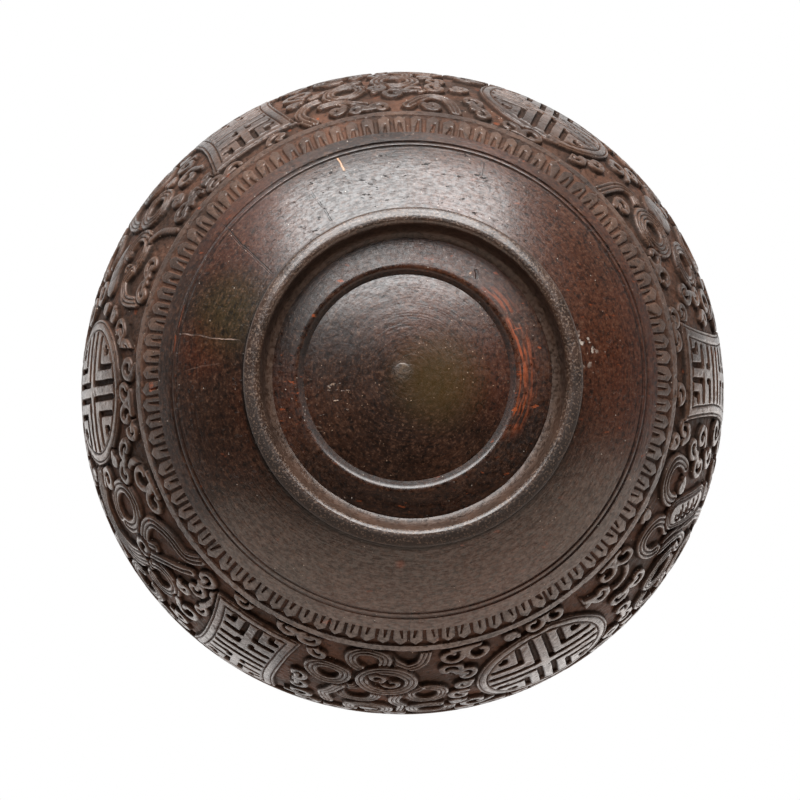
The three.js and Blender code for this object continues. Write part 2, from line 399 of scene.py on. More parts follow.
def polished_shell():
    nut = Finish("polished_shell", IOR=SHELL_GLOSS, Coat_IOR=1.5, Coat_Roughness=0.2)
    nut_brown(nut)
    # Pores that were cut open, mostly on one side
    long_spot = nut.vector("MULTIPLY", nut.spot, (1.0, 2.4, 1.5))
    pits = nut.patches(0.665, 0.7, 1.3, 4, long_spot, 0.6)
    pits = pits + nut.patches(0.64, 0.68, 0.7, 3, long_spot) * nut.patches(0.48, 0.58, 4)
    out = nut.from_axis()
    past_foot = out.band(28, 30)
    holes = pits * (nut.zone(-88, 41, 44) * 0.85 + 0.15) * past_foot
    nut.lay(PIT_DARK, holes)
    # Cracks and knocks, and a painted shadow beside the pale flake on the ledge
    pale = nut.scar((-108, 43.8), (-107, 39.4), 0.24)
    light = nut.scar((-169, 43.8), (-168, 29.8), 0.16)
    light = light + nut.scar((-141, 44), (-144, 29.6), 0.07) * 0.5
    light = light + nut.scar((-178, 41), (-176, 33), 0.12) * 0.2
    dark_marks_and_shadow = nut.scar((-118, 38.6), (-117, 29.8), 0.24) + nut.scar((-71, 43), (-70, 38.4), 0.14)
    dark_marks_and_shadow = dark_marks_and_shadow * nut.patches(0.42, 0.55, 1.6) + nut.scar((-140.2, 46), (-143.2, 29.6), 0.14)
    dark_marks_and_shadow = dark_marks_and_shadow + nut.scar((89.4, 41.6), (90, 47.4), 0.1) * 0.8
    # A darkened streak beside the pale flake on the ledge, painted as the flake's shadow.
    dark_marks_and_shadow = dark_marks_and_shadow + nut.scar((-58.9, 21), (-55.4, 19.6), 0.4)
    nut.lay(PIT_DARK, dark_marks_and_shadow * 0.85)
    flake = nut.scar((-60.8, 21.2), (-60.2, 19.4), 0.26, 0.6) * nut.patches(0.44, 0.54, 0.5, 3)
    nut.lay(CRACK_PALE, pale * 0.7 + flake)
    nut.lay((176, 150, 136), light * nut.patches(0.3, 0.6, 1.1) * 0.45)
    # Dust, a smear of glue by the foot, and places rubbed to the bare nut
    dust = nut.cells(1.6).band(0.1, 0.04) * nut.patches(0.47, 0.56, 3)
    glue = nut.zone(-9, 30.6, 4.5) * nut.patches(0.57, 0.63, 0.7, 3)
    nut.lay((204, 194, 182), dust * 0.55 + glue * 0.6)
    rub = nut.patches(0.66, 0.76, 1.5, 3, long_spot) * nut.patches(0.48, 0.6, 12)
    along_line = nut.scar((-174, 44.3), (-161, 44.1), 0.3) * nut.patches(0.42, 0.5, 1.2)
    nut.lay(BARE_NUT, (rub + nut.zone(93, 33, 1.3) + along_line * 1.6) * 0.5)
    # The ledge inside the foot, with a streaky stain, and the step cut for the plug
    on_ledge = out.band(27.6, 26.8)
    side = nut.part(0).band(10 * MM, 19 * MM) * nut.part(1).band(13 * MM, 8 * MM)
    streaks = nut.lathe_marks(0.5, 5).band(0.42, 0.6) * nut.patches(0.36, 0.58, 1.6, 4)
    stain = side * out.band(24.6, 21.2) * out.band(20.2, 20.7) * streaks
    nut.lay(BARE_NUT, stain * 0.85)
    nut.lay(BARE_NUT, on_ledge * nut.patches(0.67, 0.73, 1.2, 3, long_spot) * 0.7)
    hole = nut.from_axis(PLUG_ASIDE)
    step = hole.band(20.7, 20.2)
    edge = hole.band(20.1, 20.5) * hole.band(21.6, 21.2)
    crumbs = step * nut.cells(0.5).band(0.4, 0.15)
    nut.lay(PIT_DARK, step * 0.4 + crumbs * 0.3)
    # Dirt in the foot's joint and in the two lines
    joint = nut.from_axis(FOOT_ASIDE).band(32.6, 31.9) * past_foot + nut.fact("cut")
    nut.lay(PIT_DARK, joint * 0.9)
    nut.drive("Base Color", nut.colour)
    marks = nut.lathe_marks(0.3) * 0.6 + nut.lathe_marks(0.8, 30) * 0.4
    fine = nut.grain(0.5, 4, rough=0.65)
    lacquer = nut.lacquer() * (holes + joint).band(0.3, 0) * out.band(26, 28) * 0.7
    nut.drive("Coat Weight", lacquer + edge * 0.5)
    rough = 0.1 + marks * 0.16 + nut.grain(5, 4) * 0.14 + fine * 0.2
    rough = rough + on_ledge * ((nut.grain(0.4, 4, rough=0.75) - 0.5) * 0.9 + 0.1) - edge * 0.12
    nut.drive("Roughness", rough + holes * 0.4 + step * 0.3)
    height = marks * 0.4 + fine * 0.45 + nut.grain(7, 2) * 0.8 + nut.grain(1.6, 3) * 0.4
    height = height + step * nut.grain(0.3, 3) * 0.6 - holes * 1.2 - (light + dark_marks_and_shadow + pale) * 0.6
    nut.drive("Normal", nut.bump((height - 1) * (1 - edge * 0.8), 0.16))
    return nut.material


shell.data.materials.append(polished_shell())
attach(shell, "root")
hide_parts("carved_shell")

# The lappets: a ring of small gabled petals, cut with a knife around the foot of the frieze.
# Each has a slit up its middle, and no two are quite alike.
LAPPETS = 100
LAPPET_COLUMNS = 23
LAPPET_DEPTH = 0.5
LAPPET_HALF = 1.35
SLIT = 0.6
band_columns, band_rows = LAPPETS * LAPPET_COLUMNS, 38
chance = np.random.default_rng(7)
# The carver's bands run askew between these angles: they lie farther from the foot on one side
BAND_DRIFT, DRIFT_SIDE = math.radians(0.75), math.radians(250)
ASKEW_FROM, ASKEW_TO = (46.8, 52), (60, 88)
CARVED_CREASE = math.radians(75)


def carved_sheet(name, angles, turns, depths, closed, **facts):
    """A carved slab of the shell from a grid: depths under the shell's outside, row by row from the foot."""
    rows, columns = depths.shape
    under = CHANNEL + 0.02
    wrapped = [(angles[0] + angles[-1]) / 2, angles[0], *angles, angles[-1], (angles[0] + angles[-1]) / 2]
    sunk = np.vstack([np.full((2, columns), under), depths, np.full((2, columns), under)])
    bpy.ops.object.select_all(action="DESELECT")
    bpy.ops.mesh.primitive_grid_add(x_subdivisions=columns - 1, y_subdivisions=rows + 3, size=1)
    piece = bpy.context.object
    piece.name = piece.data.name = name
    start = points_of(piece)
    column = np.rint((start[:, 0] + 0.5) * (columns - 1)).astype(int)
    row = np.rint((start[:, 1] + 0.5) * (rows + 3)).astype(int)
    polar = np.radians(np.array(wrapped))[row]
    turn = np.asarray(turns)[column]
    askew = eased(np.degrees(polar), *ASKEW_FROM) * (1 - eased(np.degrees(polar), *ASKEW_TO))
    polar = polar + BAND_DRIFT * np.cos(turn - DRIFT_SIDE) * askew
    reach = (SHELL_RADIUS - sunk[row, column]) * MM
    move_points(piece, arms(polar, turn) * reach[:, None] + centre)
    for fact, grid in facts.items():
        edge = np.zeros((2, columns))
        mark(piece, fact, np.vstack([edge, grid, edge])[row, column])
    piece.data.uv_layers.active.name = "OFBake"
    bpy.ops.object.mode_set(mode="EDIT")
    bpy.ops.mesh.select_all(action="SELECT")
    bpy.ops.mesh.remove_doubles(threshold=1e-7)
    if not closed:
        bpy.ops.mesh.fill_holes(sides=0)
    bpy.ops.object.mode_set(mode="OBJECT")
    bpy.ops.object.shade_smooth_by_angle(angle=CARVED_CREASE)
    return piece


def lappet_depths():
    """How deep each place of the lappet band is cut, and how much of the shell is left there."""
    tall = math.radians(LAPPET_TIP - LAPPET_ROOT) * SHELL_RADIUS
    around = np.arange(band_columns) / LAPPET_COLUMNS
    which = np.floor(around).astype(int) % LAPPETS
    pitch = 2 * math.pi * SHELL_RADIUS * math.sin(math.radians((LAPPET_ROOT + LAPPET_TIP) / 2)) / LAPPETS
    varied = (chance.normal(0, size, LAPPETS)[which] for size in (0.16, 0.07, 0.14, 0.35, 0.12, 0.14))
    lean, width, tip, slit, slit_side, slit_width = varied
    worn = 0.5 + 0.5 * np.cos(around / LAPPETS * 2 * math.pi - DRIFT_SIDE)
    width, slit_width = width - 0.16 * worn, slit_width + 0.3 * worn
    y = np.linspace(0, tall, band_rows)[:, None]
    x = (around % 1 - 0.5) * pitch + lean * (y / tall - 0.4)
    gable = (tall - 0.42 + tip - y - np.abs(x + slit_side) * 0.9) / 1.35
    inside = np.minimum(LAPPET_HALF + width - np.abs(x), gable)
    raised = eased(inside, -0.12, 0.1)
    slit_top = tall * 0.5 + slit
    slit_half = (SLIT + slit_width) / 2 * (1.15 - 0.75 * y / slit_top)
    slit_inside = np.minimum(slit_half - np.abs(x + slit_side * (0.4 + y)), slit_top - y)
    raised = raised * (1 - 0.85 * eased(slit_inside, -0.13, 0.12))
    raised = raised - 0.14 * eased(np.abs(x), 0.5, 1.3) * raised
    base = 1 - eased(y, 0.1, 0.4)
    raised = np.maximum(raised, base * 0.85)
    fillet = eased(y, tall - 0.3, tall - 0.06)
    raised = np.maximum(raised, fillet)
    return LAPPET_DEPTH * (1 - raised), raised


depths, raised = lappet_depths()
lappet_angles = np.linspace(LAPPET_ROOT, LAPPET_TIP, band_rows)
band_turns = np.append(np.arange(band_columns), 0) / band_columns * 2 * math.pi
closing = [*range(band_columns), 0]
# The gaps and slits get a little painted shade in the finish from their hollow value.
lappets = carved_sheet("lappet_band", lappet_angles, band_turns, depths[:, closing], True,
                       relief=raised[:, closing], hollow=0.08 - 0.24 * raised[:, closing])


def knife_cut_shell():
    """Carved shell: dull and reddish in the ground, darkened by painted shade and some soiling in its
    hollows and on steep walls, rubbed to a gloss on top.
    """
    nut = Finish("carved_shell", IOR=1.3, Coat_IOR=1.5, Coat_Roughness=0.26)
    relief, hollow = nut.fact("relief"), nut.fact("hollow")
    top = relief.band(0.45, 0.95)
    fine = nut.grain(0.5, 4, rough=0.7)
    ground = nut.mixed(nut.patches(0.3, 0.7, 5, 4), (50, 34, 25), (84, 56, 42))
    rubbed = nut.mixed(nut.patches(0.35, 0.7, 6, 4), (50, 34, 25), (82, 58, 44))
    nut.colour = nut.mixed(top, ground, rubbed)
    nut.lay(PIT_DARK, fine.band(0.5, 0.34) * 0.7)
    # Painted shade, with some soiling: darker in hollows, beside the raised tops and on steep walls.
    shade_and_dirt = hollow.band(0.02, 0.3)
    nut.lay((30, 21, 15), shade_and_dirt * 0.75)
    worn = hollow.band(-0.1, -0.35) * nut.patches(0.35, 0.65, 2.5, 3)
    nut.lay((104, 80, 64), worn * 0.4)
    nut.lay(BARE_NUT, nut.patches(0.67, 0.74, 1.6, 3) * nut.patches(0.48, 0.6, 9) * 0.5)
    dust = nut.cells(1.5).band(0.1, 0.04) * nut.patches(0.46, 0.56, 3)
    nut.lay((200, 184, 168), dust * 0.6)
    nut.drive("Base Color", nut.colour)
    nut.drive("Roughness", 0.62 - top * 0.25 + (fine - 0.5) * 0.5 + shade_and_dirt * 0.3)
    crest = relief.band(0.7, 0.96)
    nut.drive("Coat Weight", crest * (1 - shade_and_dirt) * (0.4 + fine.band(0.4, 0.6) * 0.6))
    height = fine * 0.9 + nut.grain(1.2, 3) * 0.9
    nut.drive("Normal", nut.bump(height, 0.28))
    return nut.material


carved_finish = knife_cut_shell()
lappets.data.materials.append(carved_finish)
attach(lappets, "root")

# The frieze: the broad carved band round the belly, with a plain fillet along each edge.
# Round medallions and upright panels of key fret stand among tied ribbons and curling clouds.
# The ground is cut back with small chisels, and hands have rubbed the tops smooth.
FRIEZE_DEPTH = 1.0
FRET_WIDTH, FRET_DEPTH = 1.1, 0.8
FILLET = math.radians(FRIEZE_FOOT - LAPPET_TIP) * SHELL_RADIUS
TOP_FILLET = 1.8
frieze_columns, frieze_rows = 2600, 272
frieze_tall = math.radians(FRIEZE_TOP - FRIEZE_FOOT) * SHELL_RADIUS
up = np.linspace(-FILLET, frieze_tall + TOP_FILLET, frieze_rows)
frieze_polar = math.radians(FRIEZE_FOOT) + up / SHELL_RADIUS
cell_up = up[1] - up[0]
cell_round = 2 * math.pi * SHELL_RADIUS * 0.94 / frieze_columns
relief = np.zeros((frieze_rows, frieze_columns))


def softened(field, width):
    """The field blurred over a width in mm; it runs on round the bowl."""
    tall, wide = field.shape
    padded = np.vstack([field, field[::-1]])
    beat_up = np.fft.fftfreq(2 * tall, cell_up)[:, None]
    beat_round = np.fft.rfftfreq(wide, cell_round)[None, :]
    keep = np.exp(-2 * (math.pi * width) ** 2 * (beat_round**2 + beat_up**2))
    return np.fft.irfft2(np.fft.rfft2(padded) * keep, padded.shape)[:tall]


def uneven(width):
    """Smooth unevenness of about -1 to 1, with humps of this width in mm."""
    field = softened(chance.standard_normal(relief.shape), width)
    return field / (2 * field.std())


hand_across, hand_up = (uneven(2.6) * 0.2 + uneven(0.9) * 0.07 for _ in range(2))


def through(*points):
    """A smooth path through points of the frieze."""
    ends = np.array([points[0], *points, points[-1]], float)
    t = np.linspace(0, 1, 9)[:-1, None]
    spans = [
        b + (c - a) * t / 2 + (a - 2.5 * b + 2 * c - d / 2) * t**2 + (1.5 * (b - c) + (d - a) / 2) * t**3
        for a, b, c, d in zip(ends, ends[1:], ends[2:], ends[3:])
    ]
    return np.vstack([*spans, ends[-1:]])


def bow(x, y, wide, tall, start, sweep):
    """Part of an oval about a point."""
    turn = np.radians(start + sweep * np.linspace(0, 1, 30))
    return np.c_[x + wide * np.cos(turn), y + tall * np.sin(turn)]


def hook(x, y, size, start, sweep):
    """A curl about a point, which closes in at its end."""
    part = np.linspace(0, 1, 26)
    turn = np.radians(start + sweep * part)
    reach = size * (1 - 0.62 * np.clip((part - 0.62) / 0.38, 0, 1) ** 1.3)
    return np.c_[x + reach * np.cos(turn), y + reach * np.sin(turn)]


def beside(path, x, y):
    """How far places are from a path, and how far along it they lie, from 0 to 1."""
    far = np.full(x.shape, np.inf)
    along = np.zeros(x.shape)
    steps = np.hypot(*np.diff(path, axis=0).T)
    ends = np.append(0, np.cumsum(steps)) / steps.sum()
    for (ax, ay), (bx, by), start, end in zip(path, path[1:], ends, ends[1:]):
        dx, dy = bx - ax, by - ay
        t = np.clip(((x - ax) * dx + (y - ay) * dy) / max(dx * dx + dy * dy, 1e-9), 0, 1)
        away = np.hypot(x - ax - t * dx, y - ay - t * dy)
        along = np.where(away < far, start + t * (end - start), along)
        far = np.minimum(far, away)
    return far, along


class Patch:
    """A stretch of the frieze about an azimuth, in mm across from there and up from the frieze's foot.
    With a centre, in mm up, both are measured from that point instead, true in every direction."""

    def __init__(self, azimuth, half_angle, centre_up=None):
        middle = round(azimuth / 360 * frieze_columns)
        span = round(half_angle / 360 * frieze_columns)
        self.pick = np.arange(middle - span, middle + span + 1) % frieze_columns
        turn = np.arange(-span, span + 1) * 2 * math.pi / frieze_columns
        level = np.sin(frieze_polar)[:, None]
        self.x = SHELL_RADIUS * level * turn + hand_across[:, self.pick]
        self.y = up[:, None] + hand_up[:, self.pick]
        if centre_up is not None:
            lean = math.radians(FRIEZE_FOOT) + centre_up / SHELL_RADIUS
            out = level * np.cos(turn)
            rise = -np.cos(frieze_polar)[:, None] * np.ones_like(turn)
            ahead = out * math.sin(lean) - rise * math.cos(lean)
            above = out * math.cos(lean) + rise * math.sin(lean)
            angle = np.arccos(np.clip(ahead, -1, 1))
            reach = SHELL_RADIUS * angle / np.maximum(np.sin(angle), 1e-9)
            self.x = level * np.sin(turn) * reach + hand_across[:, self.pick] * 0.5
            self.y = above * reach + hand_up[:, self.pick] * 0.5

    def near(self, path, reach):
        low, high = path.min(0) - reach, path.max(0) + reach
        return (self.x > low[0]) & (self.x < high[0]) & (self.y > low[1]) & (self.y < high[1])

    def cells(self, where):
        row, column = np.nonzero(where)
        return row, self.pick[column]

    def leave(self, where, inside, crest):
        """Leaves material standing this high, with a clear cut around it through what it lies on."""
        moat = np.exp(-(((inside + 0.3) / 0.25) ** 2)) * (inside < 0.1)
        cover = eased(inside, -0.14, 0.12)
        place = self.cells(where)
        relief[place] = relief[place] * (1 - 0.7 * moat) * (1 - cover) + crest * cover

    def strip(self, path, width, ridges, level=1.0, taper=0.0, groove=0.42):
        """A band along a path, with this many ridges."""
        where = self.near(path, width / 2 + 1)
        far, along = beside(path, self.x[where], self.y[where])
        half = width / 2 * (1 - taper * along)
        phase = far / (2 * half) * ridges + (0 if ridges % 2 else 0.5)
        crest = FRIEZE_DEPTH * level - groove * (1 - np.abs(np.cos(math.pi * phase)))
        self.leave(where, half - far, crest)

    def cut(self, path, width, depth):
        """A groove along a path."""
        where = self.near(path, width + 0.5)
        far, _ = beside(path, self.x[where], self.y[where])
        groove = depth * (1 - eased(far, width / 2 - 0.12, width / 2 + 0.12))
        place = self.cells(where)
        relief[place] = np.maximum(relief[place] - groove, 0.04)

    def plate(self, inside, rings):
        """A flat place with a soft edge and grooves that follow it; inside is the distance from the edge."""
        where = inside > -1
        inside = inside[where]
        crest = np.full(inside.shape, FRIEZE_DEPTH)
        for ring in rings:
            crest -= 0.4 * np.exp(-(((inside - ring) / 0.2) ** 2))
        crest -= 0.16 * (1 - eased(inside, 0, 0.35))
        self.leave(where, inside, crest)

    def loop(self, width, *oval, ridges=3):
        """A ribbon along part of an oval."""
        self.strip(bow(*oval), width, ridges)

    def trail(self, width, *points, ridges=3):
        """A ribbon through points."""
        self.strip(through(*points), width, ridges)

    def stalk(self, width, *points):
        """A plain thin stalk through points, lower than the ribbons."""
        self.strip(through(*points), width, 1, 0.9, 0.0, 0.16)

    def cloud(self, x, y, size=2.6, start=200, sweep=330):
        """A curl with a short tail, open in its middle."""
        head = hook(x, y, size - 0.7, start, sweep)
        lead = (head[0] - head[1]) / np.hypot(*(head[0] - head[1]))
        self.strip(np.vstack([head[0] + lead * size * 0.7, head]), 1.5, 1, 0.97, 0.12, 0.1)

    def clouds(self, *heads):
        for head in heads:
            self.cloud(*head)

    def lobes(self, size, *middles, foot=None):
        """A cloud: curled heads that grow out of one stem, or stand on one foot."""
        heads = np.array(middles, float)
        stem = heads.mean(0) if foot is None else foot.mean(0)
        strokes = [heads] if foot is None else [foot]
        for side, (x, y) in zip((1, -1) * 2, heads):
            lead = math.degrees(math.atan2(stem[1] - y, stem[0] - x)) + chance.uniform(-30, 30)
            reach = (size - 0.6) * chance.uniform(0.95, 1.12)
            strokes.append(np.vstack([stem, hook(x, y, reach, lead, side * chance.uniform(250, 310))]))
        where = self.near(np.vstack(strokes[1:]), 1.8)
        inside = np.full(np.count_nonzero(where), -np.inf)
        for number, stroke in enumerate(strokes):
            if len(stroke) > 1:
                far, along = beside(stroke, self.x[where], self.y[where])
                inside = np.maximum(inside, 0.7 - 0.1 * along * (number > 0) - far)
        crest = FRIEZE_DEPTH * 0.97 - 0.1 * (1 - eased(inside, 0.1, 0.5))
        self.leave(where, inside, crest)

    def wish_cloud(self, x, y, size=2.5, lean=0):
        """Two cloud heads side by side on one foot."""
        turn = math.radians(lean)
        across = np.array([math.cos(turn), math.sin(turn)]) * size * 0.95
        down = np.array([math.sin(turn), -math.cos(turn)]) * size * 0.75
        foot = np.array([(x, y) + down - across, (x, y) + down + across])
        self.lobes(size, (x, y) - across, (x, y) + across, foot=foot)

    def key_fret(self, *lines):
        """Grooves cut alike in all four quarters."""
        for line in lines:
            for side in (1, -1):
                for end in (1, -1):
                    self.cut(np.array(line, float) * (side, end), FRET_WIDTH, FRET_DEPTH)

    def oblong(self, start, end, width, combs):
        """A long round-ended plate with a comb pattern, such as a sheath."""
        far, _ = beside(np.array([start, end], float), self.x, self.y)
        self.plate(width / 2 - far, [0.55, 1.15])
        for part in (np.arange(combs) + 0.5) / combs:
            x, y = np.array(start) + part * np.subtract(end, start)
            self.cut(bow(x, y, 1.6, 1.15, -60, 240), 0.55, 0.46)
            self.cut(bow(x, y, 0.6, 0.5, -30, 200), 0.45, 0.36)


def carve_medallion(azimuth, middle):
    """A disc with a double rim, cut with key fret; its middle is this far up the frieze."""
    radius = 14.5
    disc = Patch(azimuth, 16, middle)
    disc.plate(radius - np.hypot(disc.x, disc.y), [0.6, 2.2])
    disc.key_fret([(11.3, 1.5), (1.5, 1.5), (1.5, 11.3)], [(10.4, 4.6), (4.6, 4.6), (4.6, 10.4)],
                  [(7.5, 8.4), (7.5, 7.5), (8.4, 7.5)])
    beside_disc = Patch(azimuth, 13)
    beside_disc.wish_cloud(-3.0, middle - 16.4, 2.3)
    beside_disc.wish_cloud(0, 36.6, 2.3, 180)


def carve_panel(azimuth):
    """An upright board with waisted sides and a double border, cut with key fret."""
    middle, half_tall = 19.7, 15.7
    board = Patch(azimuth, 13, middle)
    half_wide = 8.3 + 1.5 * (np.abs(board.y) / half_tall) ** 2
    board.plate(np.minimum(half_wide - np.abs(board.x), half_tall - np.abs(board.y)), [0.6, 2.3])
    board.key_fret([(1.5, 12.6), (1.5, 8.2), (5.3, 8.2)], [(4.3, 12.5), (4.3, 11.0), (5.5, 11.0)],
                   [(0.0, 1.5), (5.1, 1.5)], [(1.5, 5.6), (1.5, 4.5), (5.1, 4.5)])
    beside_board = Patch(azimuth, 16)
    beside_board.lobes(2.3, (-10.4, 1.6), (-5.8, 1.0))
    beside_board.lobes(2.3, (4.4, 1.2))
    beside_board.wish_cloud(0, 37.3, 1.8, 180)


def carve_sheath(p):
    p.loop(2.7, 13, 27, 3.9, 3.6, 130, 300)
    p.trail(2.7, (-4.8, 37.4), (-5.6, 33), (-5.2, 29), (-4.2, 25), (-1.5, 20.2), (1.6, 16.6), (3.6, 14.8))
    p.trail(2.5, (-15.4, 28), (-11.4, 31), (-9, 28.6), (-10.4, 25.6))
    p.loop(2.6, 3.2, 31.6, 4, 3.7, 200, 300)
    p.loop(2.6, 8.5, 21.6, 4.3, 3.1, 0, 360)
    p.strip(through((6.2, 14.4), (2.6, 17.4), (0.5, 21.2), (1, 24.4), (3, 23.6), (2.6, 21.2)), 1.8, 2)
    p.loop(2.8, -7.7, 6.8, 3.9, 4.2, 150, 240)
    p.loop(2.9, 4.2, 9.2, 3.8, 4, 140, 280)
    p.oblong((-7, 22), (-2.2, 12.4), 6.8, 4)
    p.stalk(1.3, (11.6, 5.4), (13.4, 8.6), (16.6, 9.4), (19, 7))
    p.lobes(2.5, (12.9, 13.2), (17.8, 13.4))
    p.lobes(2.4, (19.4, 19.6), (20.4, 24))
    p.lobes(2.5, (19.6, 6.8), (23.6, 4.6))
    p.lobes(2.5, (-12.9, 15.2), (-15.4, 11))
    p.wish_cloud(13, 2.9, 2.6)
    p.clouds((-17.2, 5, 2.4, 40), (-15.6, 20.6, 2.4, 300))


def carve_ring(p):
    p.loop(2.4, -9, 17.8, 3.4, 3.3, 300, 330)
    p.loop(2.4, 4.8, 19.2, 3.6, 3.4, 210, 330)
    p.trail(2.5, (-3.4, 17.6), (-2.6, 22), (-4.6, 26), (-4.2, 30))
    p.trail(2.4, (10.4, 28), (11.4, 23.4), (9.6, 19.6), (8.4, 17))
    p.loop(2.6, 2.4, 29.6, 3.9, 3.7, 100, 300)
    p.loop(2.6, -10.4, 28.6, 3.9, 3.7, 250, 300)
    p.trail(2.6, (-8, 0.8), (-7.2, 4.2), (-4.6, 6), (-2.2, 4.6), (0, 2.4), (3.4, 1.2))
    p.loop(2.6, 3.4, 4.4, 3.5, 3.2, 160, 260)
    p.loop(2.8, 11.1, 11.9, 3.5, 3.4, 0, 360)
    p.loop(2.9, -0.6, 12.2, 4.9, 4.8, 0, 360)
    p.strip(hook(-1.4, 12.8, 1.7, 300, 330), 1.3, 1)
    p.strip(hook(1.1, 11.2, 1.4, 120, 330), 1.2, 1)
    p.stalk(1.5, (-17.4, 11.6), (-15.4, 10.8), (-13.6, 10))
    p.lobes(2.6, (-12.9, 8.2), (-16.2, 10.6))
    p.lobes(2.5, (17.4, 17.4), (17, 22))
    p.lobes(2.2, (13.4, 5.2), (15.6, 1.9), (20, 1.4))
    p.wish_cloud(-15.9, 2.8, 2.6)


def carve_fan(p):
    p.trail(5, (-2.2, 19.4), (0.6, 24.6), (6, 28), (12.6, 27.4), (17, 23.4), ridges=5)
    p.loop(2.6, -5.6, 29.8, 4, 3.7, 300, 300)
    p.loop(3, -7, 18.8, 3.8, 3.7, 60, 280)
    p.loop(3.2, 8.6, 15.2, 4.3, 4.6, 130, 330)
    p.trail(2.8, (-8.6, 1.2), (-6.4, 4.2), (-1.4, 4.6), (2.6, 7.4), (3, 11.2), (0.6, 14.4), (-1.4, 12.6))
    p.strip(np.array([(-1.2, 16.6), (-9.6, 6.2)]), 2, 2)
    p.strip(hook(0.2, 17, 1.8, 150, -330), 1.5, 1)
    p.stalk(1.6, (14.2, 8.4), (15.2, 5.6), (13, 3.2))
    p.lobes(2.5, (14.2, 9.4), (18.2, 7.2))
    p.lobes(2.4, (-12.2, 4.4), (-12.6, 9.2))
    p.lobes(2.2, (-16.4, 7), (-16.2, 14.6))
    p.clouds((-15.2, 20.4, 2.9, 20, 330), (-11, 13.4, 1.9, 20), (15.6, 19.4, 2.6, 60, -330))
    p.wish_cloud(8.6, 3.4, 2.7, 6)
    p.lobes(2.2, (20.6, 3), (24.6, 2.2))


def carve_gourd(p):
    p.strip(through((-12.4, 19.2), (-10, 19.6), (-6.6, 18.6), (-3.4, 15.6)), 5.2, 1, 1, 0.35, 0.2)
    p.loop(2.7, -7.4, 28, 4, 3.8, 250, 300)
    p.loop(2.8, -5, 12.4, 3.8, 3.6, 170, 290)
    p.trail(2.5, (-13.6, 4.4), (-14.2, 9.4), (-11.4, 12.2), (-8.6, 10.8))
    p.trail(2.6, (6, 33.4), (1.4, 30), (0, 25), (0.2, 20.4), (2, 16.6))
    p.loop(2.6, 10, 29, 3.9, 3.6, 80, 300)
    p.loop(2.9, 4.8, 16.2, 3.6, 3.6, 0, 360)
    p.stalk(1.6, (-1.6, 9.4), (1, 6.6), (2.2, 2))
    p.lobes(2.6, (-20.4, 8.2), (-23.8, 4.6))
    p.lobes(2.4, (-11.2, 2.9), (-6.4, 3.1))
    p.clouds((13.4, 13.6, 2.9, 10, 330), (15.6, 20.4, 2.5, 60))
    p.lobes(2.5, (6.2, 3.6), (10.8, 4.2))
    p.clouds((14.6, 5.2, 2.2, 200, -330))


def carve_flute(p):
    p.strip(np.array([(-14.4, 14.6), (-5, 18.8)]), 2.4, 2)
    p.loop(2.7, -8.6, 26.4, 4, 3.8, 330, 300)
    p.trail(2.6, (9.4, 33.6), (4.6, 32), (2.6, 27.6), (5.4, 23.6), (4, 19.6))
    p.trail(2.6, (-11.6, 11.2), (-15.6, 10.2), (-16.8, 6), (-14.4, 1.2))
    p.loop(2.7, -7.8, 12.6, 3.3, 3.4, 60, 330)
    p.trail(2.5, (-12.4, 7.6), (-9.6, 7.4), (-6.2, 5.2), (-3, 3.4))
    p.loop(2.9, 2.4, 17.2, 3.6, 3.7, 0, 360)
    p.trail(2.6, (4.4, 2.6), (6.6, 5.4), (9.6, 7.4), (12.4, 5.6), (13.4, 1.4))
    p.lobes(2.5, (2.2, 9), (6.4, 10.6))
    p.lobes(2.2, (-5.4, 2.2), (-1.4, 2.4))
    p.lobes(2.5, (10.4, 13), (11, 17.6))
    p.lobes(2.4, (17.2, 7.6), (18.4, 3.4))
    p.clouds((-1.4, 12.2, 2.1, 300), (9, 2.6, 1.8))


def carve_knot(p):
    p.strip(bow(-4.4, 17.6, 1.9, 1.9, 0, 360), 5.4, 1, 1, 0, 0.24)
    p.trail(2.6, (-14, 34.6), (-8.8, 33), (-7.4, 28), (-10, 24.4), (-7.4, 21.6))
    p.loop(2.7, 4.4, 27.6, 4, 3.9, 180, 310)
    p.loop(2.9, 7.2, 16.6, 3.8, 3.9, 90, 330)
    p.trail(2.7, (-13.4, 0.8), (-13.2, 5), (-12.2, 9), (-9.4, 10.4), (-6.4, 8.8))
    p.loop(3.6, -1.2, 8.4, 4, 4, 0, 360, ridges=4)
    p.clouds((-16, 16.6, 2.8, 20), (-13.6, 21, 2.4, 80))
    p.lobes(2.5, (13.4, 15.4), (12.2, 10.2))
    p.lobes(2.3, (15.6, 5.2), (17.4, 1.6))
    p.lobes(2.3, (-19, 8.2), (-22, 4.6))
    p.wish_cloud(5.4, 2.7, 2.4)


# Where each is carved: the azimuth of its middle, in degrees
PANELS = (-2.3, 122.0, 237.2)
MEDALLIONS = {63.0: 18.0, 179.0: 20.4, 297.5: 18.4}
EMBLEMS = {carve_sheath: 27.5, carve_ring: 94.6, carve_fan: 148.3, carve_gourd: 211.0, carve_flute: 265.5,
           carve_knot: 329.5}
for carve, azimuth in EMBLEMS.items():
    carve(Patch(azimuth, 24))
for azimuth in PANELS:
    carve_panel(azimuth)
for azimuth, height in MEDALLIONS.items():
    carve_medallion(azimuth, height)

# A gap that is left takes a cloud, the large ones first
for size in (3.1, 2.8, 2.5, 2.25, 1.9, 1.6):
    for azimuth, height in chance.uniform((0, size - 0.2), (360, frieze_tall - size), (700, 2)):
        gap = Patch(azimuth, 5)
        around = np.hypot(gap.x, gap.y - height) < size + 0.1
        if relief[:, gap.pick][around].max() < 0.05:
            gap.cloud(0, height, size, chance.uniform(0, 360), chance.choice((-330, 330)))

